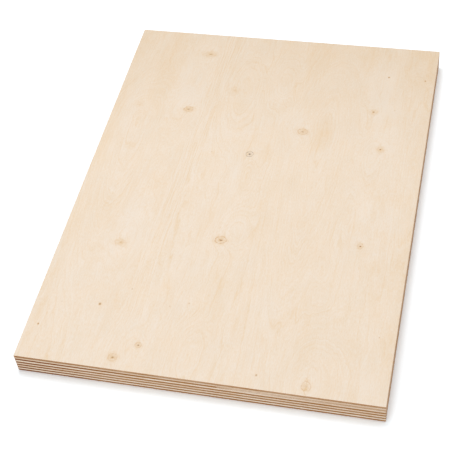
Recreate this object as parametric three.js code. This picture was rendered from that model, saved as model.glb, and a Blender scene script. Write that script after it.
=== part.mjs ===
// Birch plywood sheet, 15 mm: eleven peeled veneers laid crosswise and hot-pressed into one board.
//
// Millimetres, +Z up. X is the width, Y the length and the way the face grain runs.
// The origin is the middle of the underside, so the board lies on the plane z = 0.

import * as THREE from "three";

// Driving dimensions of the board, sawn square on all four sides
const WIDTH = 220;
const LENGTH = 300;
const ARRIS_EASE = 0.3; // the sharp edge round the face and the back, taken off with fine paper

// Third ply: two veneers laid side by side, whose edge joint runs the length of the board.
const CORE_JOINT_X = 13.2;

// Peeled birch, in the tones that the heartwood and sapwood of one log give
const SAPWOOD = 0xf0dfc8;
const CREAM = 0xecd9be;
const HEARTWOOD = 0xd9b993;
const TAN = 0xe0c5a2;

// The lay-up from the face down. The grain of each ply crosses that of its neighbours:
// the odd plies run along the length and the even ones across it. Thickness is after pressing.
const LAY_UP = [
  { name: "face_veneer", thickness: 1.7, tone: SAPWOOD, eased: "top" },
  { name: "crossband_2", thickness: 1.35, tone: CREAM },
  {
    thickness: 1.35,
    strips: [
      { name: "core_3_left_strip", from: -WIDTH / 2, to: CORE_JOINT_X, tone: HEARTWOOD },
      { name: "core_3_right_strip", from: CORE_JOINT_X, to: WIDTH / 2, tone: SAPWOOD },
    ],
  },
  { name: "crossband_4", thickness: 1.5, tone: SAPWOOD },
  { name: "core_5", thickness: 1.35, tone: TAN },
  { name: "crossband_6_middle", thickness: 1.2, tone: CREAM },
  { name: "core_7", thickness: 1.3, tone: TAN },
  { name: "crossband_8", thickness: 1.25, tone: CREAM },
  { name: "core_9", thickness: 1.3, tone: HEARTWOOD },
  { name: "crossband_10", thickness: 1.25, tone: CREAM },
  { name: "back_veneer", thickness: 1.45, tone: TAN, eased: "bottom" },
];

// Plan outline of a veneer that lies between two values of x, counterclockwise from the front left.
// It is drawn in by inset along the board's edges, and not along a joint inside the board.
function planOutline(from, to, inset) {
  const left = from === -WIDTH / 2 ? from + inset : from;
  const right = to === WIDTH / 2 ? to - inset : to;
  const front = -LENGTH / 2 + inset;
  const back = LENGTH / 2 - inset;
  return [
    new THREE.Vector2(left, front),
    new THREE.Vector2(right, front),
    new THREE.Vector2(right, back),
    new THREE.Vector2(left, back),
  ];
}

// Closed solid through a stack of outlines that all have the same number of points, lowest first.
function loftOutlines(levels) {
  const count = levels[0].outline.length;
  const position = levels.flatMap(({ outline, z }) => outline.flatMap(({ x, y }) => [x, y, z]));
  const index = [];
  for (let level = 0; level + 1 < levels.length; level += 1) {
    for (let i = 0; i < count; i += 1) {
      const a = level * count + i;
      const b = level * count + ((i + 1) % count);
      index.push(a, b, b + count, a, b + count, a + count);
    }
  }
  const lastRing = (levels.length - 1) * count;
  const capOf = (outline) => THREE.ShapeUtils.triangulateShape(outline, []);
  capOf(levels[0].outline).forEach(([a, b, c]) => index.push(c, b, a));
  capOf(levels.at(-1).outline).forEach((corners) => index.push(...corners.map((i) => lastRing + i)));
  const geometry = new THREE.BufferGeometry();
  geometry.setAttribute("position", new THREE.Float32BufferAttribute(position, 3));
  geometry.setIndex(index);
  geometry.computeVertexNormals();
  return geometry;
}

// One veneer from z = bottom to z = top. The outer veneers have the arris on their outer side eased.
function veneer({ name, from = -WIDTH / 2, to = WIDTH / 2, tone, eased }, bottom, top) {
  const full = planOutline(from, to, 0);
  const levels = [
    { outline: full, z: bottom },
    { outline: full, z: top },
  ];
  const drawnIn = planOutline(from, to, ARRIS_EASE);
  if (eased === "top") {
    levels[1].z = top - ARRIS_EASE;
    levels.push({ outline: drawnIn, z: top });
  }
  if (eased === "bottom") {
    levels[0].z = bottom + ARRIS_EASE;
    levels.unshift({ outline: drawnIn, z: bottom });
  }
  const material = new THREE.MeshStandardMaterial({ color: tone, roughness: 0.7, metalness: 0 });
  const mesh = new THREE.Mesh(loftOutlines(levels), material);
  mesh.name = name;
  return mesh;
}

const thicknessOf = (plies) => plies.reduce((sum, ply) => sum + ply.thickness, 0);
const toTenthMicron = (value) => Math.round(value * 1e4) / 1e4;

const board = new THREE.Group();
board.name = "plywood_sheet";
LAY_UP.forEach((ply, i) => {
  const bottom = toTenthMicron(thicknessOf(LAY_UP.slice(i + 1)));
  const top = toTenthMicron(thicknessOf(LAY_UP.slice(i)));
  const strips = ply.strips ?? [ply];
  strips.forEach((strip) => board.add(veneer(strip, bottom, top)));
});

export default board;
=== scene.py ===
"""Birch plywood sheet: dresses the eleven plies of a sawn board and sets its stage.

Lengths inside the mesh and material code are millimetres, and are scaled to metres once, at the end.
X runs across the board, Y along its length (the way the face grain runs) and Z through its thickness.
"""

import math
from collections import namedtuple

import bmesh
import bpy
from bpy.props import FloatProperty, FloatVectorProperty, IntProperty, PointerProperty
from mathutils import Matrix, Vector, noise
from mathutils.geometry import delaunay_2d_cdt


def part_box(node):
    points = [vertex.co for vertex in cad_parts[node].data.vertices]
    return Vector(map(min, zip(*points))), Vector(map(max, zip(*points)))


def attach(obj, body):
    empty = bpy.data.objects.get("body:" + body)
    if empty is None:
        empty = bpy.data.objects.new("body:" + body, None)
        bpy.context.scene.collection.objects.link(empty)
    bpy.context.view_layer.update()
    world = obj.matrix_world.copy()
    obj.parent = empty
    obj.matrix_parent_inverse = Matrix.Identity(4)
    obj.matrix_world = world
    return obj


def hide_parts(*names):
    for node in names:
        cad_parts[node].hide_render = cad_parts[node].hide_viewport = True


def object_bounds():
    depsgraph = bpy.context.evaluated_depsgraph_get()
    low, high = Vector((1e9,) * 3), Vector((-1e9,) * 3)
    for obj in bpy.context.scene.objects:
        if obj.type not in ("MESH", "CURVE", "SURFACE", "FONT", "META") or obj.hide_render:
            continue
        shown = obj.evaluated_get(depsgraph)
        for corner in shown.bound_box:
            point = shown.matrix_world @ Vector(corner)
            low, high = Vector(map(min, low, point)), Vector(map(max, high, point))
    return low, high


bl_info = {
    "name": "Birch plywood sheet",
    "version": (1, 0, 0),
    "blender": (4, 5, 0),
    "location": "View3D > Sidebar > Plywood",
    "description": "Dresses the plies of a sawn birch plywood sheet and sets its stage",
    "category": "Object",
}

MM = 0.001

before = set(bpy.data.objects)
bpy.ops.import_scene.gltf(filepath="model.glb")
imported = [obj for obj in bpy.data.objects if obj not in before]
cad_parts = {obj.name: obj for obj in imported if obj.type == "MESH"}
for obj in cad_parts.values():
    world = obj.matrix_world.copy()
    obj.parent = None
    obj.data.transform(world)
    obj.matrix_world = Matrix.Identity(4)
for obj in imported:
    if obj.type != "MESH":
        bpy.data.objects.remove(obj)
cad_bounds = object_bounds()
core_joint_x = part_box("core_3_right_strip")[0].x / MM


# ---------------------------------------------------------------- the board and its features

# One veneer: its CAD node, its material slot, the axis its grain runs along, and how pale its wood is
# (0 heartwood, 1 sapwood) where the saw crosses the grain and where it runs along it.
Ply = namedtuple("Ply", "node slot grain end_tone long_tone")

FACE = Ply("face_veneer", "face_birch", "Y", 0.34, 0.5)
# The back veneer's low end tone is partly painted shade, darkening its sawn edge where it meets the
# floor.
BACK = Ply("back_veneer", "back_birch", "Y", 0.11, 0.3)
CROSSBANDS = (
    Ply("crossband_2", "crossband_birch", "X", 0.35, 0.18),
    Ply("crossband_4", "crossband_birch", "X", 0.4, 0.56),
    Ply("crossband_6_middle", "crossband_birch", "X", 0.35, 0.4),
    Ply("crossband_8", "crossband_birch", "X", 0.4, 0.55),
    Ply("crossband_10", "crossband_birch", "X", 0.35, 0.78),
)
CORES = (
    Ply("core_3_left_strip", "core_birch_dark", "Y", 0.04, 0.3),
    Ply("core_3_right_strip", "core_birch_pale", "Y", 1.0, 0.7),
    Ply("core_5", "core_birch_dark", "Y", 0.1, 0.4),
    Ply("core_7", "core_birch_dark", "Y", 0.22, 0.45),
    Ply("core_9", "core_birch_dark", "Y", 0.17, 0.4),
)

# How brown the front and back edges are, from one x in mm to another, and how much at each.
EdgeStain = namedtuple("EdgeStain", "x_from x_to brown_from brown_to")

PLY_STAINS = {
    "face_veneer": [EdgeStain(-112.0, -45.0, 0.5, 0.0)],
    "core_3_left_strip": [EdgeStain(-112.0, -10.0, 1.0, 0.0)],
    "core_3_right_strip": [
        EdgeStain(core_joint_x, 28.0, 0.5, 0.0),
        EdgeStain(32.0, 105.0, 0.0, 0.5),
    ],
    "crossband_4": [EdgeStain(25.0, 100.0, 0.0, 0.17)],
}
END_GRAIN_STAINS = [EdgeStain(-112.0, -35.0, 0.9, 0.0)]
LONG_GRAIN_STAINS = [EdgeStain(-112.0, -45.0, 0.07, 0.0)]

# A knot: its middle, its half width and half length, and then, from 0 to 1, how strong its stain, its
# outline, its dark heart and the streak above and below it are. The heart is flattened `flat` times
# into a slit, and a dead knot is grey.
Knot = namedtuple(
    "Knot", "x y wide long smear ring heart streak flat grey", defaults=(0.0, 1.5, 0.0)
)

FACE_KNOTS = (
    Knot(-53.5, 127.9, 3.8, 2.6, 0.64, 0.10, 0.34, 0.1),
    Knot(-56.1, 69.2, 3.1, 2.2, 0.68, 0.50, 0.72, 0.5, 2.0),
    Knot(-27.6, 92.0, 2.8, 3.0, 0.32, 0.05, 0.05, 0.3),
    Knot(-91.8, 69.8, 2.2, 2.4, 0.38, 0.00, 0.05, 0.2),
    Knot(71.8, 82.3, 2.4, 2.2, 0.70, 0.05, 0.65, 0.2),
    Knot(27.0, 57.2, 3.4, 2.5, 0.57, 0.54, 0.54, 0.1, 2.2),
    Knot(-4.6, 31.6, 2.35, 2.3, 0.20, 0.80, 0.96, 0.3, 1.0, 0.9),
    Knot(80.9, 47.3, 2.0, 2.3, 0.75, 0.05, 0.80, 0.6),
    Knot(-70.3, -55.8, 3.5, 2.5, 0.57, 0.14, 0.10, 0.1),
    Knot(-7.3, -44.9, 3.4, 2.9, 0.60, 0.70, 1.00, 0.1, 2.4),
    Knot(79.6, -37.4, 1.8, 2.0, 0.60, 0.34, 1.00, 0.6),
    Knot(-38.0, -131.0, 1.9, 1.8, 0.57, 0.42, 0.74, 0.3, 1.2),
    Knot(-50.8, -141.8, 2.5, 2.5, 0.74, 0.34, 0.52, 0.4, 1.2),
    Knot(64.0, -143.5, 2.6, 3.2, 0.18, 0.44, 0.12, 0.9),
)

# A pin knot, the trace of a bud: its middle, its radius and how dark it is
PinKnot = namedtuple("PinKnot", "x y radius dark")

FACE_PINS = (
    PinKnot(77.7, 118.4, 0.8, 0.68),
    PinKnot(103.1, 117.6, 0.8, 0.51),
    PinKnot(85.7, 85.5, 0.7, 0.13),
    PinKnot(-69.4, -105.2, 1.1, 0.58),
    PinKnot(-15.4, -96.6, 0.7, 0.23),
    PinKnot(-26.5, -100.5, 0.7, 0.15),
    PinKnot(-52.8, -91.1, 0.7, 0.20),
    PinKnot(-102.5, -125.3, 0.8, 0.62),
    PinKnot(34.8, -140.6, 0.9, 0.42),
    PinKnot(100.1, -103.9, 0.6, 0.23),
    PinKnot(-93.2, -106.8, 0.6, 0.15),
    PinKnot(-30.5, 30.5, 0.7, 0.12),
)

BACK_KNOTS = (
    Knot(-62.0, -88.0, 4.2, 3.8, 0.70, 0.80, 0.90, 0.3, 2.0),
    Knot(38.0, 22.0, 3.2, 2.8, 0.70, 0.50, 0.70, 0.4),
    Knot(71.0, 104.0, 2.4, 2.2, 0.60, 0.40, 0.60, 0.5),
)

BACK_PINS = (
    PinKnot(-20.0, 61.0, 0.9, 0.7),
    PinKnot(84.0, -66.0, 0.8, 0.6),
)

# A place where the peeling knife ran along a crest of the growth rings, so that they show as nested
# loops: its middle, half width, length upwards and downwards, and the number of rings in it.
Crest = namedtuple("Crest", "x y half_width up down rings")

FACE_CRESTS = (
    Crest(-90.5, 57.0, 25.0, 50.0, 165.0, 13.0),
    Crest(-62.0, 75.0, 12.0, 20.0, 70.0, 4.0),
    Crest(-21.5, 96.0, 15.0, 44.0, 72.0, 7.0),
    Crest(6.0, 104.0, 13.0, 36.0, 36.0, 6.0),
    Crest(21.0, 62.0, 14.0, 17.0, 17.0, 6.0),
    Crest(39.0, 59.0, 29.0, 90.0, 190.0, 15.0),
    Crest(-2.5, 12.0, 7.0, 18.0, 20.0, 4.0),
    Crest(-1.0, -36.0, 14.0, 24.0, 20.0, 6.0),
    Crest(75.0, 40.0, 13.0, 26.0, 46.0, 6.0),
    Crest(60.0, -62.0, 7.0, 22.0, 11.0, 4.0),
    Crest(-67.0, -50.0, 12.0, 26.0, 40.0, 5.0),
    Crest(62.5, -142.0, 26.0, 56.0, 40.0, 12.0),
    Crest(-10.0, -128.0, 14.0, 26.0, 60.0, 5.0),
    Crest(-47.0, -136.0, 16.0, 24.0, 60.0, 5.0),
    Crest(104.0, 20.0, 10.0, 90.0, 90.0, 4.0),
)

BACK_CRESTS = (
    Crest(-18.0, -30.0, 24.0, 110.0, 70.0, 6.0),
    Crest(66.0, 40.0, 18.0, 60.0, 90.0, 5.0),
    Crest(-84.0, 70.0, 14.0, 50.0, 40.0, 3.0),
)

# A soft-edged area of another tone: its middle, half width, half length, and how much paler
# (above 0) or warmer (below 0) it is.
Area = namedtuple("Area", "x y half_width half_length paler")

FACE_AREAS = (
    Area(-58.5, 108.0, 11.0, 34.0, 1.2),
    Area(-57.0, 80.0, 12.0, 6.0, 0.9),
    Area(-56.0, 141.0, 10.0, 6.0, 0.7),
    Area(-80.0, 112.0, 8.0, 42.0, -1.2),
    Area(-93.0, 50.0, 7.0, 14.0, 0.7),
    Area(-106.0, 0.0, 5.0, 150.0, -0.8),
    Area(-107.0, 50.0, 4.0, 34.0, -1.0),
    Area(-94.0, -30.0, 10.0, 22.0, -0.2),
    Area(-69.0, 8.0, 4.0, 9.0, -0.5),
    Area(-68.0, -37.0, 7.0, 16.0, 1.6),
    Area(-76.0, -70.0, 5.0, 12.0, 0.9),
    Area(-64.0, -71.0, 3.0, 8.0, -0.8),
    Area(-90.0, -88.0, 12.0, 16.0, 0.5),
    Area(-44.0, -117.0, 9.0, 7.0, 0.8),
    Area(-28.0, 54.0, 8.0, 24.0, 0.6),
    Area(-10.5, 6.0, 3.0, 22.0, 0.9),
    Area(-3.0, 11.0, 3.0, 15.0, -1.1),
    Area(6.0, 31.0, 4.0, 9.0, -1.3),
    Area(15.0, 7.0, 6.0, 13.0, -0.7),
    Area(0.0, -28.0, 12.0, 10.0, 0.9),
    Area(-22.0, -30.0, 4.0, 12.0, -1.0),
    Area(17.0, -28.0, 4.0, 10.0, -0.7),
    Area(-1.0, -80.0, 4.0, 12.0, -0.9),
    Area(5.0, 91.0, 6.0, 9.0, 1.3),
    Area(27.0, 134.0, 9.0, 22.0, -1.3),
    Area(17.0, 70.0, 9.0, 8.0, 1.3),
    Area(40.0, 59.0, 8.0, 16.0, -1.7),
    Area(63.0, 141.0, 5.0, 12.0, -0.9),
    Area(74.0, 106.0, 9.0, 30.0, 1.4),
    Area(82.0, 86.0, 10.0, 10.0, 0.8),
    Area(79.0, 60.0, 9.0, 8.0, 0.9),
    Area(98.0, 128.0, 13.0, 26.0, -1.2),
    Area(97.0, 3.0, 9.0, 7.0, -0.9),
    Area(76.0, -8.0, 7.0, 10.0, 1.0),
    Area(74.0, -30.0, 6.0, 6.0, 0.8),
    Area(108.0, 30.0, 5.0, 120.0, -0.5),
    Area(107.0, -48.0, 6.0, 27.0, -1.0),
    Area(108.0, -115.0, 5.0, 32.0, -1.1),
    Area(33.0, -90.0, 10.0, 14.0, 0.7),
    Area(58.0, -116.0, 6.0, 14.0, -1.2),
    Area(97.0, -131.0, 10.0, 14.0, 0.6),
)

BACK_AREAS = (
    Area(-40.0, 60.0, 16.0, 80.0, -0.6),
    Area(30.0, -90.0, 14.0, 50.0, 0.5),
)


def linear(red, green, blue):
    """Linear colour of an 8-bit sRGB one."""
    return tuple(
        c / 12.92 if c <= 0.04045 else ((c + 0.055) / 1.055) ** 2.4
        for c in (red / 255, green / 255, blue / 255)
    )


def opaque(color):
    """A colour with its alpha, as a node's socket takes it."""
    return (*color, 1.0)


# ---------------------------------------------------------------- settings that a user would change


def length_setting(name, description, default):
    """A length in metres, shown in the scene's units."""
    return FloatProperty(
        name=name, description=description, default=default, min=0.0, precision=5, unit="LENGTH"
    )


def color_setting(name, description, default):
    """A colour, given as 8-bit sRGB."""
    return FloatVectorProperty(
        name=name, description=description, default=linear(*default), size=3, min=0.0, max=1.0,
        subtype="COLOR",
    )


class PlywoodSawSettings(bpy.types.PropertyGroup):
    """How finely the sawn edges are built, and how deep their relief is."""

    step: length_setting("Step", "Distance between the points of an edge", 0.7 * MM)
    rows: IntProperty(
        name="Rows", description="Rows of points through each ply", default=5, min=2, max=12
    )
    corner_radius: length_setting("Corner radius", "Wear of the sheet's upright corners", 0.4 * MM)
    end_grain_depth: length_setting("End grain depth", "Depth of the fuzz of end grain", 0.1 * MM)
    long_grain_depth: length_setting("Long grain depth", "Depth of the long fibres", 0.05 * MM)
    saw_mark_depth: length_setting("Saw mark depth", "Depth of the slanted saw marks", 0.05 * MM)
    glue_groove_depth: length_setting("Glue groove", "Depth of the groove at a glue line", 0.06 * MM)


class PlywoodFaceSettings(bpy.types.PropertyGroup):
    """How the outer veneers are sanded."""

    arris: length_setting("Arris", "Rounding of the edge round the face", 0.3 * MM)
    lattice: length_setting("Lattice", "Distance between points on the open face", 8.0 * MM)
    knot_hollow: length_setting("Knot hollow", "How far a knot lies under the face", 0.07 * MM)
    heart_depth: length_setting("Heart depth", "Depth of the check in a knot's heart", 0.3 * MM)
    pin_depth: length_setting("Pin depth", "Depth of a pin knot", 0.18 * MM)


class PlywoodToneSettings(bpy.types.PropertyGroup):
    """Colours of the birch, as they are under plain white light."""

    face_pale: color_setting("Face, pale", "Sapwood of the face", (246, 230, 212))
    face_warm: color_setting("Face, warm", "Warm streaks and ring lines", (240, 214, 181))
    cool: color_setting("Cool", "Tint of the cooler patches of the face", (251, 253, 255))
    # Drift is painted shade that darkens and warms the face towards its back and a little to the right.
    drift: color_setting("Drift", "Tint that the face takes on towards its back", (246, 243, 238))
    knot_smear: color_setting("Knot smear", "Stain in and round a knot", (222, 180, 115))
    knot_ring: color_setting("Knot ring", "Outline of the branch", (208, 154, 80))
    knot_heart: color_setting("Knot heart", "Bark and check in the middle of a knot", (140, 82, 26))
    knot_grey: color_setting("Knot grey", "Outline and heart of a dead knot", (112, 98, 88))
    end_dark: color_setting("End grain, dark", "Sawn end grain of heartwood", (164, 107, 30))
    end_pale: color_setting("End grain, pale", "Sawn end grain of sapwood", (229, 201, 174))
    long_dark: color_setting("Long grain, dark", "Sawn long grain of heartwood", (222, 195, 166))
    long_pale: color_setting("Long grain, pale", "Sawn long grain of sapwood", (248, 235, 218))
    # Scorch is painted shade that darkens and browns the left and right edges.
    painted_side_shade: color_setting("Scorch", "Tint of the saw on the left and right edges", (211, 189, 165))
    scorched_end: color_setting("Scorched end", "Tint of the saw on an edge's left end", (200, 165, 107))
    glue: color_setting("Glue line", "Hot-pressed resin between the plies", (112, 66, 30))


class PlywoodStageSettings(bpy.types.PropertyGroup):
    """Camera, lights and floor."""

    camera_place: FloatVectorProperty(
        name="Camera place", description="Where the camera stands", size=3, unit="LENGTH",
        default=(0.14351, -0.49244, 0.56540),
    )
    camera_turn: FloatVectorProperty(
        name="Camera turn", description="The camera's rotation about X, Y and Z", size=3,
        subtype="EULER", default=tuple(math.radians(a) for a in (41.093, 4.981, 12.475)),
    )
    lens: FloatProperty(name="Lens", description="Focal length on a 36 mm sensor", default=92.239)
    sky: FloatProperty(name="Sky", description="Strength of the even light", default=0.71)
    lamp_power: FloatProperty(
        name="Lamp power", description="Power of the soft lamp", default=6.0, unit="POWER"
    )
    lamp_size: length_setting("Lamp size", "Side of the square soft lamp", 0.5)
    lamp_height: length_setting("Lamp height", "Height of the lamp over the floor", 1.5)
    lamp_left: length_setting("Lamp left", "How far to the left of the board the lamp stands", 0.12)
    lamp_back: length_setting("Lamp back", "How far behind the board's middle it stands", 0.27)
    fill_power: FloatProperty(
        name="Fill power", description="Power of the low fill in front", default=2.5, unit="POWER"
    )
    fill_size: length_setting("Fill size", "Side of the square fill", 0.9)
    fill_distance: length_setting("Fill distance", "Distance of the fill from the board", 1.6)
    floor_size: length_setting("Floor size", "Side of the floor", 8.0)


SETTINGS = {
    "plywood_saw": PlywoodSawSettings,
    "plywood_face": PlywoodFaceSettings,
    "plywood_tones": PlywoodToneSettings,
    "plywood_stage": PlywoodStageSettings,
}


# ---------------------------------------------------------------- meshes, in millimetres

# A point of a veneer's plan outline, the outward direction there, and the side that starts at it
OutlinePoint = namedtuple("OutlinePoint", "x y out_x out_y side")

SIDES = ("front", "right", "back", "left")
OUTWARD = {"front": (0.0, -1.0), "right": (1.0, 0.0), "back": (0.0, 1.0), "left": (-1.0, 0.0)}
SMALL_GAP = 1e-4  # mm; two CAD faces closer than this are one
SAW_SLANT = 0.4  # how far the saw marks lean along the edge for each millimetre up it
HOLLOW_REACH = 1.3  # a knot's hollow ends this many half widths from its middle
HEART_REACH = 0.35  # and the check in its heart ends here
COARSER = 4  # points on the flat sides inside the board lie this many times as far apart


def board_box():
    """Lowest and highest corner of the whole CAD board, in millimetres."""
    low, high = cad_bounds
    return low / MM, high / MM


def node_box(node):
    """Lowest and highest corner of a CAD node, in millimetres."""
    low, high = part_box(node)
    return low / MM, high / MM


def joint_sides(low, high):
    """The sides of a veneer that meet another veneer inside the board, not the air."""
    board_low, board_high = board_box()
    joints = set()
    if low.x > board_low.x + SMALL_GAP:
        joints.add("left")
    if high.x < board_high.x - SMALL_GAP:
        joints.add("right")
    return joints


def plan_outline(low, high, step, corner_radius):
    """Points round a veneer's plan, counterclockwise from the front left corner."""
    joints = joint_sides(low, high)
    corners = ((low.x, low.y), (high.x, low.y), (high.x, high.y), (low.x, high.y))
    points = []
    for i, side in enumerate(SIDES):
        before = SIDES[i - 1]
        after = SIDES[(i + 1) % 4]
        start = Vector(corners[i])
        end = Vector(corners[(i + 1) % 4])
        along = (end - start).normalized()
        out = Vector(OUTWARD[side])
        start_radius = 0.0 if {side, before} & joints else corner_radius
        end_radius = 0.0 if {side, after} & joints else corner_radius
        start += along * start_radius
        end -= along * end_radius
        count = 1 if side in joints else max(1, round((end - start).length / step))
        for k in range(count + (1 if end_radius else 0)):
            place = start.lerp(end, k / count)
            points.append(OutlinePoint(place.x, place.y, out.x, out.y, side))
        if end_radius:
            next_out = Vector(OUTWARD[after])
            middle = end - out * end_radius
            for turn in (1 / 3, 2 / 3):
                lean = out * math.cos(turn * math.pi / 2) + next_out * math.sin(turn * math.pi / 2)
                place = middle + lean * end_radius
                points.append(OutlinePoint(place.x, place.y, lean.x, lean.y, side))
    return points


def saw_relief(point, z, ply, saw):
    """How far the sawn surface lies inside the CAD face, in millimetres."""
    crosswise = abs(point.out_x) > abs(point.out_y)
    along = point.y if crosswise else point.x
    side_seed = 31.7 * SIDES.index(point.side)
    marks = noise.noise(Vector((1.3 * (along + SAW_SLANT * z), side_seed, 0.0)))
    depth = saw.saw_mark_depth / MM * (0.5 + 0.5 * marks)
    cuts_across_grain = (ply.grain == "X") == crosswise
    if cuts_across_grain:
        fuzz = noise.noise(Vector((1.1 * along, 2.2 * z, side_seed + 5.0)))
        return depth + saw.end_grain_depth / MM * (0.5 + 0.5 * fuzz)
    fibres = noise.noise(Vector((0.16 * along, 3.5 * z, side_seed + 11.0)))
    return depth + saw.long_grain_depth / MM * (0.5 + 0.5 * fibres)


def ply_rows(low, high, eased, saw, face):
    """Heights of a veneer's rows of points, lowest first, with how far each is drawn in."""
    arris = face.arris / MM
    groove = saw.glue_groove_depth / MM
    bottom = low.z + (arris if eased == "bottom" else 0.0)
    top = high.z - (arris if eased == "top" else 0.0)
    rows = []
    for k in range(saw.rows):
        drawn_in = 0.0
        if k == 0 and eased != "bottom" or k == saw.rows - 1 and eased != "top":
            drawn_in = groove
        rows.append((bottom + (top - bottom) * k / (saw.rows - 1), drawn_in))
    turns = [math.radians(a) for a in (22.5, 45.0, 67.5, 90.0)]
    if eased == "top":
        rows += [(top + arris * math.sin(a), arris * (1 - math.cos(a))) for a in turns]
    if eased == "bottom":
        rows = [(bottom - arris * math.sin(a), arris * (1 - math.cos(a))) for a in turns[::-1]] + rows
    return rows


def cap(bm, ring, inner, z_of, facing_up, material):
    """Closes a ring of vertices with triangles that also use the inner points (x, y)."""
    plan = [Vector((v.co.x, v.co.y)) for v in ring] + [Vector(p) for p in inner]
    edges = [(i, (i + 1) % len(ring)) for i in range(len(ring))]
    _, _, triangles, sources, _, _ = delaunay_2d_cdt(plan, edges, [], 1, SMALL_GAP)
    vertices = list(ring) + [bm.verts.new((x, y, z_of(x, y))) for x, y in inner]
    for triangle in triangles:
        corners = [vertices[sources[i][0]] for i in triangle]
        normal_up = (corners[1].co - corners[0].co).cross(corners[2].co - corners[0].co).z > 0
        if normal_up != facing_up:
            corners.reverse()
        bm.faces.new(corners).material_index = material


def lattice_points(low, high, spacing, keep_clear):
    """Points of a staggered lattice inside a box, away from circles (x, y, radius)."""
    columns = max(1, round((high.x - low.x) / spacing))
    lines = max(1, round((high.y - low.y) / spacing))
    points = []
    for i in range(columns):
        for j in range(lines):
            x = low.x + (i + (0.3 if j % 2 else 0.7)) * (high.x - low.x) / columns
            y = low.y + (j + 0.5) * (high.y - low.y) / lines
            if all((x - cx) ** 2 + (y - cy) ** 2 > radius**2 for cx, cy, radius in keep_clear):
                points.append((x, y))
    return points


def rings_of_points(x, y, wide, long, radii, count):
    """A middle point with elliptical rings of points round it."""
    points = [(x, y)]
    for number, radius in enumerate(radii):
        for k in range(count):
            angle = 2 * math.pi * (k + 0.5 * (number % 2)) / count
            points.append((x + wide * radius * math.cos(angle), y + long * radius * math.sin(angle)))
    return points


def knot_points(knots, pins):
    """Dense points for the hollows of the knots."""
    points = []
    for knot in knots:
        radii = (0.12, 0.3, 0.5, 0.75, 1.0, HOLLOW_REACH)
        points += rings_of_points(knot.x, knot.y, knot.wide, knot.long, radii, 24)
    for pin in pins:
        points += rings_of_points(pin.x, pin.y, pin.radius, pin.radius, (0.3, 0.65, 1.0), 12)
    return points


def face_depth(x, y, knots, pins, face):
    """How far the surface lies under the face at a point, in millimetres."""
    depth = 0.0
    for knot in knots:
        reach = math.hypot((x - knot.x) / knot.wide, (y - knot.y) / knot.long)
        if reach < HOLLOW_REACH:
            hollow = face.knot_hollow / MM * (1 - (reach / HOLLOW_REACH) ** 2)
            heart = face.heart_depth / MM * knot.heart * max(0.0, 1 - reach / HEART_REACH)
            depth = max(depth, hollow + heart)
    for pin in pins:
        reach = math.hypot(x - pin.x, y - pin.y) / pin.radius
        depth = max(depth, face.pin_depth / MM * pin.dark * max(0.0, 1 - reach))
    return depth


def dressed_veneer(ply, knots=(), pins=(), eased=None):
    """One veneer: sawn edges with relief, and a sanded face with its knots if it is an outer one.

    Material 0 is the sawn front and back, 1 the sawn left and right, and 2 the flat sides.
    """
    saw = bpy.context.scene.plywood_saw
    face = bpy.context.scene.plywood_face
    low, high = node_box(ply.node)
    outline = plan_outline(low, high, saw.step / MM, saw.corner_radius / MM)
    joints = joint_sides(low, high)
    rows = ply_rows(low, high, eased, saw, face)
    bm = bmesh.new()
    rings = []
    for z, drawn_in in rows:
        ring = []
        for point in outline:
            depth = 0.0 if point.side in joints else drawn_in + saw_relief(point, z, ply, saw)
            ring.append(bm.verts.new((point.x - point.out_x * depth, point.y - point.out_y * depth, z)))
        rings.append(ring)
    # The rounded edge of the face shows the saw's cut until its last two rows.
    sanded_rows = {len(rows) - 3, len(rows) - 2} if eased == "top" else set()
    count = len(outline)
    for r in range(len(rings) - 1):
        for i, point in enumerate(outline):
            j = (i + 1) % count
            quad = bm.faces.new((rings[r][i], rings[r][j], rings[r + 1][j], rings[r + 1][i]))
            sawn_side = 0 if point.side in ("front", "back") else 1
            quad.material_index = 2 if r in sanded_rows else sawn_side
    spacing = face.lattice / MM
    margin = 1.5
    clear = [(k.x, k.y, HOLLOW_REACH * max(k.wide, k.long) + margin) for k in knots]
    clear += [(p.x, p.y, p.radius + margin) for p in pins]
    fine = lattice_points(low, high, spacing, clear) + knot_points(knots, pins)
    coarse = lattice_points(low, high, COARSER * spacing, ())
    cap(
        bm, rings[-1], fine if eased == "top" else coarse,
        lambda x, y: high.z - face_depth(x, y, knots, pins, face), True, 2,
    )
    cap(
        bm, rings[0], fine if eased == "bottom" else coarse,
        lambda x, y: low.z + face_depth(x, y, knots, pins, face), False, 2,
    )
    return as_object(bm, ply.node + "_dressed")


def as_object(bm, name):
    """An object of the scene from a mesh in millimetres, smooth but for its sharp edges."""
    for made in bm.faces:
        made.smooth = True
    mesh = bpy.data.meshes.new(name)
    bm.to_mesh(mesh)
    bm.free()
    mesh.transform(Matrix.Scale(MM, 4))
    mesh.set_sharp_from_angle(angle=math.radians(40.0))
    made = bpy.data.objects.new(name, mesh)
    bpy.context.scene.collection.objects.link(made)
    return made


# ---------------------------------------------------------------- shader graphs

NOISE_MIDDLE = 0.5
RING_PHASE = 0.35  # where in a ring the field of growth rings starts
OUT_OF_SIGHT = 1.0  # mm
SOCKET_TYPES = {
    "value": "NodeSocketFloat",
    "vector": "NodeSocketVector",
    "color": "NodeSocketColor",
}


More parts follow.
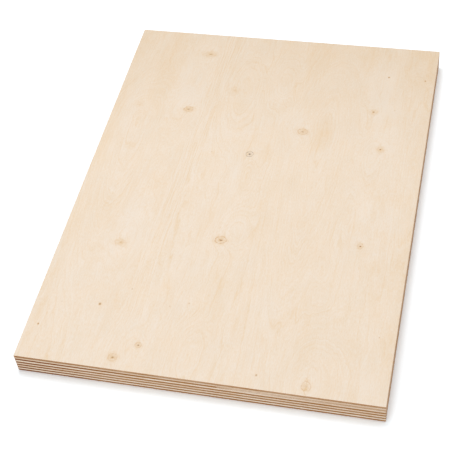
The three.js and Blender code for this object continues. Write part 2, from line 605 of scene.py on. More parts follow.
class Graph:
    """Adds nodes to a shader tree and links them, each call giving the new node's output."""

    def __init__(self, tree):
        self.tree = tree

    def node(self, kind, inputs=None, **settings):
        """A node with its settings and inputs, each a value or another node's output."""
        made = self.tree.nodes.new(kind)
        for name, value in settings.items():
            setattr(made, name, value)
        for name, value in (inputs or {}).items():
            self.feed(made.inputs[name], value)
        return made

    def feed(self, socket, value):
        if isinstance(value, bpy.types.NodeSocket):
            self.tree.links.new(value, socket)
        else:
            socket.default_value = value

    def math(self, operation, *values, clamp=False):
        made = self.node("ShaderNodeMath", operation=operation, use_clamp=clamp)
        for socket, value in zip(made.inputs, values):
            self.feed(socket, value)
        return made.outputs[0]

    def total(self, *values):
        """Sum of the values."""
        result, *rest = values
        for value in rest:
            result = self.math("ADD", result, value)
        return result

    def product(self, *values):
        """Product of the values."""
        result, *rest = values
        for value in rest:
            result = self.math("MULTIPLY", result, value)
        return result

    def squares(self, first, second):
        """Sum of the squares of two values."""
        return self.total(self.product(first, first), self.product(second, second))

    def swing(self, value, amount):
        """A noise's value about its middle, times an amount."""
        return self.product(self.math("SUBTRACT", value, NOISE_MIDDLE), amount)

    def vector_math(self, operation, *values):
        made = self.node("ShaderNodeVectorMath", operation=operation)
        for socket, value in zip(made.inputs, values):
            self.feed(socket, value)
        return made.outputs[0]

    def remap(self, value, low, high, to_low=0.0, to_high=1.0):
        """Smooth step of a value from one range to another."""
        made = self.node(
            "ShaderNodeMapRange",
            {"Value": value, "From Min": low, "From Max": high, "To Min": to_low, "To Max": to_high},
            interpolation_type="SMOOTHSTEP",
        )
        return made.outputs["Result"]

    def split(self, vector):
        made = self.node("ShaderNodeSeparateXYZ", {"Vector": vector})
        return made.outputs["X"], made.outputs["Y"], made.outputs["Z"]

    def join(self, x, y, z):
        return self.node("ShaderNodeCombineXYZ", {"X": x, "Y": y, "Z": z}).outputs["Vector"]

    def noise(self, place, stretch, detail=2.0, roughness=0.5):
        """Noise from 0 to 1 that changes over the given lengths in millimetres along X, Y and Z."""
        scaled = self.vector_math("DIVIDE", place, stretch)
        made = self.node(
            "ShaderNodeTexNoise",
            {"Vector": scaled, "Scale": 1.0, "Detail": detail, "Roughness": roughness},
        )
        return made.outputs[0]

    def mix(self, factor, first, second):
        """Colour between two colours."""
        made = self.node("ShaderNodeMix", data_type="RGBA")
        self.feed(made.inputs[0], factor)
        self.feed(made.inputs[6], first)
        self.feed(made.inputs[7], second)
        return made.outputs[2]

    def tint(self, factor, color, tone):
        """Colour multiplied by another."""
        made = self.node("ShaderNodeMix", data_type="RGBA", blend_type="MULTIPLY")
        self.feed(made.inputs[0], factor)
        self.feed(made.inputs[6], color)
        self.feed(made.inputs[7], tone)
        return made.outputs[2]

    def group(self, tree, inputs):
        """A shader node group, as its outputs."""
        made = self.node("ShaderNodeGroup", node_tree=tree)
        for name, value in inputs.items():
            self.feed(made.inputs[name], value)
        return made.outputs


def shader_group(name, inputs, outputs):
    """An empty group with named inputs and outputs: its graph, its input sockets and its output node."""
    tree = bpy.data.node_groups.new(name, "ShaderNodeTree")
    for label, kind in inputs.items():
        tree.interface.new_socket(label, in_out="INPUT", socket_type=SOCKET_TYPES[kind])
    for label, kind in outputs.items():
        tree.interface.new_socket(label, in_out="OUTPUT", socket_type=SOCKET_TYPES[kind])
    graph = Graph(tree)
    entry = graph.node("NodeGroupInput").outputs
    leave = graph.node("NodeGroupOutput")
    return graph, entry, leave


def put_out(graph, leave, results):
    """Links a group's results to its output node and gives the finished group."""
    for label, value in results.items():
        graph.feed(leave.inputs[label], value)
    return graph.tree


KNOT_MARKS = ("Push", "Pale", "Smear", "Ring", "Heart", "Grey")


def knot_group():
    """One knot: adds its stain, outline and heart to those of the knots before it."""
    sizes = ("X", "Y", "Half Width", "Half Length", "Heart Flatness")
    strengths = ("Smear Strength", "Ring Strength", "Heart Strength", "Streak Strength", "Grey Strength")
    inputs = {"Position": "vector", "Wobble": "value", "Blotch": "value"}
    inputs.update({label: "value" for label in (*sizes, *strengths, *KNOT_MARKS)})
    graph, entry, leave = shader_group("Knot", inputs, {label: "value" for label in KNOT_MARKS})
    x, y, _ = graph.split(entry["Position"])
    dx = graph.math("SUBTRACT", x, entry["X"])
    dy = graph.math("SUBTRACT", y, entry["Y"])
    across = graph.math("DIVIDE", dx, entry["Half Width"])
    along = graph.math("DIVIDE", dy, entry["Half Length"])
    across_squared = graph.product(across, across)
    along_squared = graph.product(along, along)
    # 0 at the heart and 1 on the outline of the branch
    reach = graph.math("SQRT", graph.total(across_squared, along_squared))
    reach = graph.product(reach, entry["Wobble"])

    # A stain round the heart and a fainter one beyond it, thinning in blotches, drawn out to both sides
    core = graph.remap(reach, 0.0, 1.15, 1.0, 0.0)
    skirt = graph.remap(reach, 0.2, 2.1, 0.62, 0.0)
    wing_reach = graph.math("SQRT", graph.squares(graph.product(across, 0.36), along))
    wing = graph.remap(graph.product(wing_reach, entry["Wobble"]), 0.1, 1.0, 0.3, 0.0)
    smear = graph.math("MAXIMUM", graph.math("MAXIMUM", core, skirt), wing)
    smear = graph.product(smear, entry["Blotch"], entry["Smear Strength"])

    # Paler wood beyond it, but not at the sides
    pale = graph.product(graph.remap(reach, 1.0, 2.2), graph.remap(reach, 2.4, 5.0, 1.0, 0.0))
    beside_wing = graph.math("SUBTRACT", 1.0, graph.product(wing, 2.0), clamp=True)
    pale = graph.product(pale, beside_wing)

    # The outline of the branch, with a fainter ring inside it
    off_outline = graph.math("ABSOLUTE", graph.math("SUBTRACT", reach, 1.0))
    outline = graph.remap(off_outline, 0.0, 0.17, 1.0, 0.0)
    off_inner = graph.math("ABSOLUTE", graph.math("SUBTRACT", reach, 0.6))
    inner = graph.remap(off_inner, 0.0, 0.14, 0.3, 0.0)
    ring = graph.product(graph.total(outline, inner), entry["Blotch"], entry["Ring Strength"])

    # A streak above and below, where the fibres close up behind the branch
    sway = graph.product(graph.math("SUBTRACT", entry["Wobble"], 1.0), 9.0)
    beside = graph.math("ABSOLUTE", graph.total(dx, sway))
    streak = graph.remap(beside, 0.1, 0.8, 1.0, 0.0)
    faded = graph.remap(graph.math("ABSOLUTE", along), 0.8, 3.2, 1.0, 0.0)
    streak = graph.product(streak, faded, graph.product(entry["Streak Strength"], 0.5))

    # The heart, a slit where it is flattened, and the grey of a dead knot
    flattened = graph.product(along, entry["Heart Flatness"])
    heart_reach = graph.math("SQRT", graph.total(across_squared, graph.product(flattened, flattened)))
    heart_reach = graph.product(heart_reach, entry["Wobble"])
    heart = graph.product(graph.remap(heart_reach, 0.07, 0.48, 1.0, 0.0), entry["Heart Strength"])
    grey = graph.product(graph.remap(reach, 1.2, 1.6, 1.0, 0.0), entry["Grey Strength"])

    # The rings bow out round the knot: the figure is read nearer to the knot's middle line.
    fall = graph.total(graph.product(across_squared, 0.15), graph.product(along_squared, 0.07))
    fall = graph.math("EXPONENT", graph.product(fall, -1.0))
    push = graph.product(dx, fall, -0.85)
    return put_out(graph, leave, {
        "Push": graph.math("ADD", entry["Push"], push),
        "Pale": graph.math("MAXIMUM", entry["Pale"], pale),
        "Smear": graph.math("MAXIMUM", entry["Smear"], graph.math("MAXIMUM", smear, streak)),
        "Ring": graph.math("MAXIMUM", entry["Ring"], ring),
        "Heart": graph.math("MAXIMUM", entry["Heart"], heart),
        "Grey": graph.math("MAXIMUM", entry["Grey"], grey),
    })


def pin_knot_group():
    """One pin knot: adds its dark dot and the faint stain round it to those before it."""
    graph, entry, leave = shader_group(
        "Pin knot",
        {
            "Position": "vector", "X": "value", "Y": "value", "Radius": "value",
            "Strength": "value", "Smear": "value", "Heart": "value",
        },
        {"Smear": "value", "Heart": "value"},
    )
    middle = graph.join(entry["X"], entry["Y"], 0.0)
    away = graph.vector_math("SUBTRACT", entry["Position"], middle)
    away = graph.vector_math("MULTIPLY", away, (1.0, 0.8, 0.0))
    made = graph.node("ShaderNodeVectorMath", {0: away}, operation="LENGTH")
    reach = graph.math("DIVIDE", made.outputs["Value"], entry["Radius"])
    heart = graph.product(graph.remap(reach, 0.22, 0.78, 1.0, 0.0), entry["Strength"])
    smear = graph.product(graph.remap(reach, 0.35, 1.3, 0.95, 0.0), entry["Strength"])
    return put_out(graph, leave, {
        "Smear": graph.math("MAXIMUM", entry["Smear"], smear),
        "Heart": graph.math("MAXIMUM", entry["Heart"], heart),
    })


def crest_group():
    """One crest of the growth rings: a cone, longer one way than the other, added to the field."""
    graph, entry, leave = shader_group(
        "Growth crest",
        {
            "Position": "vector", "X": "value", "Y": "value", "Half Width": "value",
            "Up": "value", "Down": "value", "Rings": "value", "Field": "value",
        },
        {"Field": "value"},
    )
    x, y, _ = graph.split(entry["Position"])
    dx = graph.math("SUBTRACT", x, entry["X"])
    dy = graph.math("SUBTRACT", y, entry["Y"])
    across = graph.math("DIVIDE", dx, entry["Half Width"])
    above = graph.math("MAXIMUM", graph.math("DIVIDE", dy, entry["Up"]), 0.0)
    below = graph.math("MINIMUM", graph.math("DIVIDE", dy, entry["Down"]), 0.0)
    # The small addition rounds the cone's tip.
    squares = graph.total(graph.squares(across, graph.total(above, below)), 0.004)
    height = graph.remap(graph.math("SQRT", squares), 0.0, 1.15, 1.0, 0.0)
    height = graph.product(height, entry["Rings"])
    return put_out(graph, leave, {"Field": graph.total(entry["Field"], height)})


def area_group():
    """One soft-edged area of another tone, added to the tone."""
    graph, entry, leave = shader_group(
        "Tone area",
        {
            "Position": "vector", "Fray": "value", "X": "value", "Y": "value",
            "Half Width": "value", "Half Length": "value", "Paler": "value", "Tone": "value",
        },
        {"Tone": "value"},
    )
    x, y, _ = graph.split(entry["Position"])
    # Its edge frays, and three times as far along the grain as across it.
    dx = graph.total(graph.math("SUBTRACT", x, entry["X"]), entry["Fray"])
    dy = graph.total(graph.math("SUBTRACT", y, entry["Y"]), graph.product(entry["Fray"], 3.0))
    across = graph.math("DIVIDE", dx, entry["Half Width"])
    along = graph.math("DIVIDE", dy, entry["Half Length"])
    inside = graph.remap(graph.squares(across, along), 0.35, 1.6, 1.0, 0.0)
    amount = graph.product(inside, entry["Paler"])
    return put_out(graph, leave, {"Tone": graph.total(entry["Tone"], amount)})


def figure_group():
    """Figure of peeled birch from the field of its growth rings: ring lines, fibres and mottle."""
    graph, entry, leave = shader_group(
        "Birch figure",
        {"Position": "vector", "Field": "value"},
        {
            "Lines": "value", "Grain": "value", "Fibres": "value", "Mottle": "value",
            "Coolness": "value",
        },
    )
    place = entry["Position"]
    field = entry["Field"]
    _, y, _ = graph.split(place)
    # A ring darkens towards its late wood and ends at once, more in some years than in others.
    within = graph.math("FRACT", field)
    late_wood = graph.remap(within, 0.74, 0.95)
    ended = graph.remap(within, 0.95, 1.0, 1.0, 0.0)
    year_number = graph.math("FLOOR", field)
    year = graph.node("ShaderNodeTexWhiteNoise", {"W": year_number}, noise_dimensions="1D")
    clearness = graph.remap(year.outputs["Value"], 0.15, 0.95, 0.25, 1.0)
    patches = graph.remap(graph.noise(place, (7.0, 26.0, 20.0), detail=3.0), 0.36, 0.6, 0.45, 1.0)
    lines = graph.product(late_wood, ended, graph.product(clearness, patches))
    # Finer growth follows the rings too.
    followed = graph.join(graph.product(field, 1.2), y, 0.0)
    grain = graph.noise(followed, (1.0, 40.0, 1.0), detail=5.0, roughness=0.9)
    flecks = graph.noise(place, (0.5, 2.0, 5.0), detail=2.0, roughness=0.6)
    strands = graph.noise(place, (0.8, 18.0, 5.0), detail=3.0, roughness=0.7)
    fibres = graph.total(graph.product(flecks, 0.6), graph.product(strands, 0.4))
    mottle = graph.noise(place, (19.0, 30.0, 30.0), detail=4.0, roughness=0.62)
    shifted = graph.vector_math("ADD", place, (300.0, 0.0, 0.0))
    coolness = graph.noise(shifted, (14.0, 26.0, 20.0), detail=5.0, roughness=0.85)
    return put_out(graph, leave, {
        "Lines": lines, "Grain": grain, "Fibres": fibres, "Mottle": mottle, "Coolness": coolness,
    })


def sawn_group():
    """Sawn edge wood: Stretch says how far its fibres run along the edge and up it, in millimetres."""
    graph, entry, leave = shader_group(
        "Sawn birch",
        {
            "Place": "vector", "Stretch": "vector", "Speck Stretch": "vector",
            "Dark": "color", "Pale": "color", "Tone": "value", "Variation": "value",
        },
        {"Color": "color", "Height": "value", "Roughness": "value"},
    )
    place = entry["Place"]
    fibre = graph.noise(place, entry["Stretch"], detail=3.0, roughness=0.6)
    speck_noise = graph.noise(place, entry["Speck Stretch"], detail=1.0)
    specks = graph.remap(speck_noise, 0.62, 0.74)
    drift = graph.noise(place, (9.0, 2.0, 9.0), detail=3.0, roughness=0.6)
    # The tone swings with the fibres and drifts along the edge, and pores show as dark specks.
    fibre_swing = graph.math("SUBTRACT", fibre, NOISE_MIDDLE)
    drift_swing = graph.math("SUBTRACT", drift, NOISE_MIDDLE)
    change = graph.product(graph.total(fibre_swing, drift_swing), entry["Variation"])
    tone = graph.math("ADD", entry["Tone"], change, clamp=True)
    tone = graph.math("SUBTRACT", tone, graph.product(specks, 0.35), clamp=True)
    color = graph.mix(tone, entry["Dark"], entry["Pale"])
    # The saw leaves slanted scores right across the plies.
    x, y, z = graph.split(place)
    slanted = graph.join(graph.total(x, graph.product(y, SAW_SLANT)), 0.0, z)
    scores = graph.noise(slanted, (0.8, 1.0, 40.0), detail=2.0)
    height = graph.total(graph.product(scores, 0.5), graph.product(fibre, 0.5))
    height = graph.math("SUBTRACT", height, graph.product(specks, 0.5))
    roughness = graph.remap(fibre, 0.2, 0.8, 0.62, 0.82)
    return put_out(graph, leave, {"Color": color, "Height": height, "Roughness": roughness})


def glue_line_group():
    """Mask of the resin at the top and bottom of a ply, uneven as it squeezes into the wood."""
    graph, entry, leave = shader_group(
        "Glue line",
        {"Place": "vector", "Bottom": "value", "Top": "value", "Width": "value"},
        {"Mask": "value"},
    )
    _, height, _ = graph.split(entry["Place"])
    from_bottom = graph.math("SUBTRACT", height, entry["Bottom"])
    from_top = graph.math("SUBTRACT", entry["Top"], height)
    nearest = graph.math("MINIMUM", from_bottom, from_top)
    uneven = graph.remap(graph.noise(entry["Place"], (1.6, 1.0, 5.0), detail=3.0), 0.3, 0.7, 0.5, 1.5)
    widths_away = graph.math("DIVIDE", nearest, graph.product(entry["Width"], uneven))
    return put_out(graph, leave, {"Mask": graph.remap(widths_away, 0.3, 1.0, 1.0, 0.0)})


GROUP_MAKERS = {
    "Knot": knot_group,
    "Pin knot": pin_knot_group,
    "Growth crest": crest_group,
    "Tone area": area_group,
    "Birch figure": figure_group,
    "Sawn birch": sawn_group,
    "Glue line": glue_line_group,
}


def shared(name):
    """A shared shader group, made the first time that it is asked for."""
    return bpy.data.node_groups.get(name) or GROUP_MAKERS[name]()


# ---------------------------------------------------------------- materials


def new_material(name):
    """An empty node material: the material, its graph and its shader."""
    material = bpy.data.materials.new(name)
    material.use_nodes = True
    material.node_tree.nodes.clear()
    graph = Graph(material.node_tree)
    shader = graph.node("ShaderNodeBsdfPrincipled", {"Specular IOR Level": 0.3})
    graph.node("ShaderNodeOutputMaterial", {"Surface": shader.outputs[0]})
    return material, graph, shader


def place_in_mm(graph):
    """Object coordinates in millimetres."""
    coordinates = graph.node("ShaderNodeTexCoord").outputs["Object"]
    return graph.vector_math("MULTIPLY", coordinates, (1 / MM, 1 / MM, 1 / MM))


def bump(graph, height, distance):
    """Normal of a surface with this relief, its depth in metres."""
    made = graph.node("ShaderNodeBump", {"Strength": 1.0, "Distance": distance, "Height": height})
    return made.outputs["Normal"]


def add_knots(graph, place, knots, pins):
    """The marks that the knots of a veneer leave, each knot adding to those before it."""
    wobble = graph.remap(graph.noise(place, (2.4, 2.4, 5.0), detail=1.0), 0.25, 0.75, 0.9, 1.1)
    blotch = graph.remap(graph.noise(place, (1.5, 1.2, 5.0), detail=3.0), 0.3, 0.65, 0.4, 1.1)
    marks = dict.fromkeys(KNOT_MARKS, 0.0)
    for knot in knots:
        made = graph.group(shared("Knot"), {
            "Position": place, "Wobble": wobble, "Blotch": blotch, "X": knot.x, "Y": knot.y,
            "Half Width": knot.wide, "Half Length": knot.long, "Heart Flatness": knot.flat,
            "Smear Strength": knot.smear, "Ring Strength": knot.ring, "Heart Strength": knot.heart,
            "Streak Strength": knot.streak, "Grey Strength": knot.grey, **marks,
        })
        marks = {label: made[label] for label in marks}
    for pin in pins:
        made = graph.group(shared("Pin knot"), {
            "Position": place, "X": pin.x, "Y": pin.y, "Radius": pin.radius, "Strength": pin.dark,
            "Smear": marks["Smear"], "Heart": marks["Heart"],
        })
        marks["Smear"] = made["Smear"]
        marks["Heart"] = made["Heart"]
    return marks


def add_crests(graph, place, crests, field):
    """The field of growth rings with its crests."""
    for crest in crests:
        field = graph.group(shared("Growth crest"), {
            "Position": place, "X": crest.x, "Y": crest.y, "Half Width": crest.half_width,
            "Up": crest.up, "Down": crest.down, "Rings": crest.rings, "Field": field,
        })["Field"]
    return field


def add_areas(graph, place, areas):
    """The sum of the paler and warmer areas."""
    fray = graph.noise(place, (3.0, 30.0, 10.0), detail=3.0, roughness=0.65)
    fray = graph.swing(fray, 14.0)
    tone = 0.0
    for area in areas:
        tone = graph.group(shared("Tone area"), {
            "Position": place, "Fray": fray, "X": area.x, "Y": area.y,
            "Half Width": area.half_width, "Half Length": area.half_length,
            "Paler": area.paler, "Tone": tone,
        })["Tone"]
    return tone


def streak_band(graph, place):
    """Rings of a run of close, parallel streaks down the face, and a mask of the run."""
    x, y, _ = graph.split(place)
    middle = graph.math("SUBTRACT", graph.product(y, 0.045), 45.0)
    off = graph.math("SUBTRACT", x, middle)
    rings = graph.product(graph.remap(off, -8.0, 8.0), 8.0)
    beside = graph.remap(graph.math("ABSOLUTE", off), 4.0, 9.0, 1.0, 0.0)
    mask = graph.product(beside, graph.remap(y, -110.0, -60.0))
    return rings, mask


def ring_field(graph, place, bowed, crests):
    """How many growth rings lie under each point of a veneer."""
    x, _, _ = graph.split(bowed)
    slow = graph.noise(bowed, (30.0, 320.0, 60.0), detail=1.0)
    ripple = graph.noise(bowed, (7.0, 34.0, 25.0), detail=2.0)
    teeth = graph.noise(bowed, (1.6, 12.0, 25.0), detail=1.0)
    small = graph.math("MULTIPLY_ADD", teeth, 0.45, RING_PHASE)
    field = graph.total(
        graph.product(x, 0.15), graph.product(slow, 9.0), graph.product(ripple, 2.2), small
    )
    return add_crests(graph, place, crests, field)


def painted_back_shade(graph, place):
    """How much painted shade darkens a veneer: more towards the back and a little to the right."""
    x, y, _ = graph.split(place)
    to_back = graph.remap(y, 10.0, 165.0, 0.0, 0.9)
    to_right = graph.remap(x, -40.0, 130.0, 0.0, 0.2)
    return graph.math("ADD", to_back, to_right, clamp=True)


def sanded_material(name, tones, knots, pins, crests, areas, with_band, seed):
    """Finish of an outer veneer: sanded birch with its figure and knots."""
    material, graph, shader = new_material(name)
    place = place_in_mm(graph)
    marks = add_knots(graph, place, knots, pins)
    bowed = graph.vector_math("ADD", place, graph.join(marks["Push"], 0.0, seed))
    sway = graph.noise(bowed, (26.0, 110.0, 40.0), detail=2.0)
    waves = graph.noise(bowed, (7.0, 16.0, 20.0), detail=2.0)
    sway = graph.total(graph.product(sway, 9.0), graph.product(waves, 3.0))
    bowed = graph.vector_math("ADD", bowed, graph.join(sway, 0.0, 0.0))
    field = ring_field(graph, place, bowed, crests)
    clarity = 1.0
    lines_strength = 0.46
    if with_band:
        band, mask = streak_band(graph, place)
        field = graph.total(field, band)
        clarity = graph.math("MULTIPLY_ADD", mask, 1.9, clarity)
        lines_strength = graph.math("MULTIPLY_ADD", mask, 0.3, lines_strength)
    figure = graph.group(shared("Birch figure"), {"Position": bowed, "Field": field})

    # How warm the wood is at each point, from the pale sapwood to the warm streaks
    usual_warmth = 0.32
    warmth = graph.total(
        graph.math("ADD", graph.swing(figure["Mottle"], 0.5), usual_warmth),
        graph.product(graph.swing(figure["Grain"], 1.7), clarity),
        graph.swing(figure["Fibres"], 2.2),
        graph.product(figure["Lines"], lines_strength),
    )
    paler = graph.total(add_areas(graph, place, areas), graph.product(marks["Pale"], 0.3))
    warmth = graph.math("SUBTRACT", warmth, graph.product(paler, 0.14), clamp=True)

    color = graph.mix(warmth, opaque(tones.face_pale), opaque(tones.face_warm))
    color = graph.tint(graph.remap(figure["Coolness"], 0.2, 0.8), color, opaque(tones.cool))
    # Painted shade: the drift tint darkens the veneer towards its back and a little to the right.
    color = graph.tint(painted_back_shade(graph, place), color, opaque(tones.drift))
    color = graph.mix(graph.math("MINIMUM", marks["Smear"], 1.0), color, opaque(tones.knot_smear))
    ring = graph.mix(marks["Grey"], opaque(tones.knot_ring), opaque(tones.knot_grey))
    heart = graph.mix(marks["Grey"], opaque(tones.knot_heart), opaque(tones.knot_grey))
    color = graph.mix(graph.product(marks["Ring"], 0.8), color, ring)
    color = graph.mix(graph.product(marks["Heart"], 0.9), color, heart)
    graph.feed(shader.inputs["Base Color"], color)
    graph.feed(shader.inputs["Roughness"], graph.remap(figure["Fibres"], 0.2, 0.8, 0.52, 0.66))
    graph.feed(shader.inputs["Normal"], bump(graph, figure["Fibres"], 0.02 * MM))
    return material


def stained_amount(graph, ply, x, cuts_across_grain):
    """How brown the front and back edges of a ply are along their length."""
    usual_stains = END_GRAIN_STAINS if cuts_across_grain else LONG_GRAIN_STAINS
    browned = 0.0
    for stain in PLY_STAINS.get(ply.node, usual_stains):
        browned = graph.math("MAXIMUM", graph.remap(x, *stain), browned)
    return browned


def glued_heights(ply):
    """Heights of the glue below and above a ply, out of sight where it has none."""
    low, high = node_box(ply.node)
    board_low, board_high = board_box()
    bottom = low.z if low.z > board_low.z + SMALL_GAP else board_low.z - OUT_OF_SIGHT
    top = high.z if high.z < board_high.z - SMALL_GAP else board_high.z + OUT_OF_SIGHT
    return bottom, top


def sawn_material(ply, crosswise, tones):
    """Finish of a ply's sawn edges: crosswise is True for the left and right edges of the board."""
    cuts_across_grain = (ply.grain == "X") == crosswise
    cut = "end grain" if cuts_across_grain else "long grain"
    material, graph, shader = new_material(f"{ply.node} {cut}")
    x, y, z = graph.split(place_in_mm(graph))
    seed = 0.1 * sum(map(ord, ply.node))
    depth = graph.total(graph.product(x if crosswise else y, 0.3), seed)
    place = graph.join(y if crosswise else x, z, depth)
    if cuts_across_grain:
        # The open ends of the fibres shine less.
        shader.inputs["Specular IOR Level"].default_value = 0.1
        glue_width = 0.20
        values = {
            "Stretch": (1.4, 0.5, 5.0), "Speck Stretch": (0.22, 0.22, 5.0),
            "Dark": opaque(tones.end_dark), "Pale": opaque(tones.end_pale),
            "Tone": ply.end_tone, "Variation": 0.7,
        }
    else:
        glue_width = 0.08
        values = {
            "Stretch": (14.0, 0.28, 5.0), "Speck Stretch": (3.5, 0.12, 5.0),
            "Dark": opaque(tones.long_dark), "Pale": opaque(tones.long_pale),
            "Tone": ply.long_tone, "Variation": 1.5,
        }
    wood = graph.group(shared("Sawn birch"), {"Place": place, **values})
    if crosswise:
        # Painted shade darkens and browns the left and right edges evenly.
        color = graph.tint(1.0, wood["Color"], opaque(tones.painted_side_shade))
    else:
        browned = stained_amount(graph, ply, x, cuts_across_grain)
        color = graph.tint(browned, wood["Color"], opaque(tones.scorched_end))
    bottom, top = glued_heights(ply)
    glue = graph.group(shared("Glue line"), {
        "Place": place, "Bottom": bottom, "Top": top, "Width": glue_width,
    })["Mask"]
    color = graph.mix(graph.product(glue, 0.8), color, opaque(tones.glue))
    graph.feed(shader.inputs["Base Color"], color)
    graph.feed(shader.inputs["Roughness"], wood["Roughness"])
    graph.feed(shader.inputs["Normal"], bump(graph, wood["Height"], 0.05 * MM))
    return material


def inner_material(ply, tones):
    """Finish of a ply's flat sides inside the board: peeled birch."""
    material, graph, shader = new_material(f"{ply.node} peeled side")
    place = place_in_mm(graph)
    x, y, _ = graph.split(place)
    turned = graph.join(y, x, 0.0) if ply.grain == "X" else graph.join(x, y, 0.0)
    fibre = graph.noise(turned, (1.2, 40.0, 5.0), detail=3.0)
    color = graph.mix(graph.remap(fibre, 0.3, 0.7), opaque(tones.face_pale), opaque(tones.face_warm))
    graph.feed(shader.inputs["Base Color"], color)
    graph.feed(shader.inputs["Roughness"], graph.remap(fibre, 0.2, 0.8, 0.6, 0.75))
    graph.feed(shader.inputs["Normal"], bump(graph, fibre, 0.03 * MM))
    return material


def finish_veneer(piece, ply, flat_material):
    """Gives a dressed veneer its materials and its place in the model."""
    tones = bpy.context.scene.plywood_tones
    piece.data.materials.append(sawn_material(ply, False, tones))
    piece.data.materials.append(sawn_material(ply, True, tones))
    piece.data.materials.append(flat_material)
    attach(piece, "root")
    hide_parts(ply.node)


# ---------------------------------------------------------------- the stage


WHITE = (1.0, 1.0, 1.0, 1.0)


def seen_rays(graph):
    """1 for rays that show the backdrop to the eye: camera, glossy and transmission rays."""
    path = graph.node("ShaderNodeLightPath").outputs
    seen = graph.math("MAXIMUM", path["Is Camera Ray"], path["Is Glossy Ray"])
    return graph.math("MAXIMUM", seen, path["Is Transmission Ray"])


def floor_material():
    """Pale floor that keeps the board's shadow, and is white to the eye beside it and all the way out."""
    material = bpy.data.materials.new("studio floor")
    material.use_nodes = True
    material.node_tree.nodes.clear()
    graph = Graph(material.node_tree)

    def diffuse(*color):
        return graph.node("ShaderNodeBsdfDiffuse", {"Color": opaque(color)}).outputs[0]

    pale = diffuse(0.95, 0.95, 0.95)
    white = diffuse(0.97, 1.0, 1.0)
    lift = diffuse(0.26, 0.305, 0.355)
    lifted = graph.node("ShaderNodeAddShader", {0: white, 1: lift}).outputs[0]
    far_white = graph.node("ShaderNodeEmission", {"Color": WHITE, "Strength": 1.0}).outputs[0]
    # Square of the distance from the board's middle, in metres
    x, y, _ = graph.split(graph.node("ShaderNodeTexCoord").outputs["Object"])
    far = graph.remap(graph.squares(x, y), 0.4, 2.0)
    seen = graph.node("ShaderNodeMixShader", {0: far, 1: lifted, 2: far_white}).outputs[0]
    chosen = graph.node("ShaderNodeMixShader", {0: seen_rays(graph), 1: pale, 2: seen})
    graph.node("ShaderNodeOutputMaterial", {"Surface": chosen.outputs[0]})
    return material


def build_floor(stage):
    """Plane just under the board."""
    bm = bmesh.new()
    half = stage.floor_size / 2
    bed_gap = 0.1 * MM
    corners = ((-half, -half), (half, -half), (half, half), (-half, half))
    bm.faces.new([bm.verts.new((x, y, -bed_gap)) for x, y in corners])
    mesh = bpy.data.meshes.new("studio_floor")
    bm.to_mesh(mesh)
    bm.free()
    mesh.materials.append(floor_material())
    floor = bpy.data.objects.new("studio_floor", mesh)
    bpy.context.scene.collection.objects.link(floor)


def build_sky(stage):
    """Even white light, with a white background to the eye."""
    world = bpy.data.worlds.new("studio sky")
    world.use_nodes = True
    world.node_tree.nodes.clear()
    graph = Graph(world.node_tree)
    light = graph.node("ShaderNodeBackground", {"Color": WHITE, "Strength": stage.sky}).outputs[0]
    backdrop = graph.node("ShaderNodeBackground", {"Color": WHITE, "Strength": 1.0}).outputs[0]
    chosen = graph.node("ShaderNodeMixShader", {0: seen_rays(graph), 1: light, 2: backdrop})
    graph.node("ShaderNodeOutputWorld", {"Surface": chosen.outputs[0]})
    bpy.context.scene.world = world


def area_lamp(name, place, size, power):
    """Square soft lamp that points at the board."""
    light = bpy.data.lights.new(name, "AREA")
    light.shape = "SQUARE"
    light.size = size
    light.energy = power
    lamp = bpy.data.objects.new(name, light)
    lamp.location = place
    lamp.rotation_euler = (-lamp.location).to_track_quat("-Z", "Y").to_euler()
    bpy.context.scene.collection.objects.link(lamp)


def build_lamps(stage):
    """A soft lamp almost overhead, a little behind and to the left, and a weak low fill in front."""
    overhead = (-stage.lamp_left, stage.lamp_back, stage.lamp_height)
    area_lamp("soft lamp", overhead, stage.lamp_size, stage.lamp_power)
    in_front = Vector((-0.30, -0.88, 0.36)).normalized() * stage.fill_distance
    area_lamp("front fill", in_front, stage.fill_size, stage.fill_power)


def build_camera(stage):
    camera = bpy.data.objects.new("camera", bpy.data.cameras.new("camera"))
    camera.data.sensor_width = 36.0
    camera.data.lens = stage.lens
    camera.data.clip_start = 0.01
    camera.location = stage.camera_place
    camera.rotation_euler = stage.camera_turn
    bpy.context.scene.collection.objects.link(camera)
    bpy.context.scene.camera = camera


# ---------------------------------------------------------------- operators and panel


class PLYWOOD_OT_stage(bpy.types.Operator):
    """Set up the floor, the sky, the soft lamp and the camera"""

    bl_idname = "plywood.stage"
    bl_label = "Stage"

    def execute(self, context):
        stage = context.scene.plywood_stage
        context.scene.view_settings.view_transform = "Standard"
        build_floor(stage)
        build_sky(stage)
        build_lamps(stage)
        build_camera(stage)
        return {"FINISHED"}


class PLYWOOD_OT_face_veneer(bpy.types.Operator):
    """Dress the face veneer, with its knots and figure"""

    bl_idname = "plywood.face_veneer"
    bl_label = "Face veneer"

    def execute(self, context):
        piece = dressed_veneer(FACE, FACE_KNOTS, FACE_PINS, eased="top")
        finish = sanded_material(
            "sanded birch face", context.scene.plywood_tones, FACE_KNOTS, FACE_PINS, FACE_CRESTS,
            FACE_AREAS, with_band=True, seed=0.0,
        )
        finish_veneer(piece, FACE, finish)
        return {"FINISHED"}


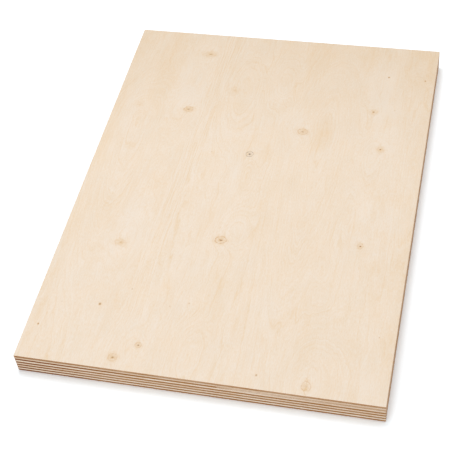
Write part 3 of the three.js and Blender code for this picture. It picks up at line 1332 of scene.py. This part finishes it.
class PLYWOOD_OT_back_veneer(bpy.types.Operator):
    """Dress the back veneer, plainer than the face"""

    bl_idname = "plywood.back_veneer"
    bl_label = "Back veneer"

    def execute(self, context):
        piece = dressed_veneer(BACK, BACK_KNOTS, BACK_PINS, eased="bottom")
        finish = sanded_material(
            "sanded birch back", context.scene.plywood_tones, BACK_KNOTS, BACK_PINS, BACK_CRESTS,
            BACK_AREAS, with_band=False, seed=500.0,
        )
        finish_veneer(piece, BACK, finish)
        return {"FINISHED"}


def dress_inner_plies(plies, tones):
    for ply in plies:
        finish_veneer(dressed_veneer(ply), ply, inner_material(ply, tones))


class PLYWOOD_OT_crossbands(bpy.types.Operator):
    """Dress the five crossbands, whose grain runs across the board"""

    bl_idname = "plywood.crossbands"
    bl_label = "Crossbands"

    def execute(self, context):
        dress_inner_plies(CROSSBANDS, context.scene.plywood_tones)
        return {"FINISHED"}


class PLYWOOD_OT_cores(bpy.types.Operator):
    """Dress the core veneers, whose grain runs along the board, with the jointed third ply"""

    bl_idname = "plywood.cores"
    bl_label = "Core veneers"

    def execute(self, context):
        dress_inner_plies(CORES, context.scene.plywood_tones)
        return {"FINISHED"}


OPERATORS = (
    PLYWOOD_OT_stage,
    PLYWOOD_OT_face_veneer,
    PLYWOOD_OT_crossbands,
    PLYWOOD_OT_cores,
    PLYWOOD_OT_back_veneer,
)


class PLYWOOD_PT_sheet(bpy.types.Panel):
    """Lists the parts of the sheet and their settings"""

    bl_label = "Birch plywood sheet"
    bl_idname = "PLYWOOD_PT_sheet"
    bl_space_type = "VIEW_3D"
    bl_region_type = "UI"
    bl_category = "Plywood"

    def draw(self, context):
        for operator in OPERATORS:
            self.layout.operator(operator.bl_idname)
        for name, kind in SETTINGS.items():
            box = self.layout.box()
            for setting in kind.__annotations__:
                box.prop(getattr(context.scene, name), setting)


def register():
    for kind in (*SETTINGS.values(), *OPERATORS, PLYWOOD_PT_sheet):
        bpy.utils.register_class(kind)
    for name, kind in SETTINGS.items():
        setattr(bpy.types.Scene, name, PointerProperty(type=kind))


def unregister():
    for name in SETTINGS:
        delattr(bpy.types.Scene, name)
    for kind in (PLYWOOD_PT_sheet, *OPERATORS[::-1], *list(SETTINGS.values())[::-1]):
        bpy.utils.unregister_class(kind)


def main():
    register()
    bpy.ops.plywood.stage()
    bpy.ops.plywood.face_veneer()
    bpy.ops.plywood.crossbands()
    bpy.ops.plywood.cores()
    bpy.ops.plywood.back_veneer()


if __name__ == "__main__":
    main()
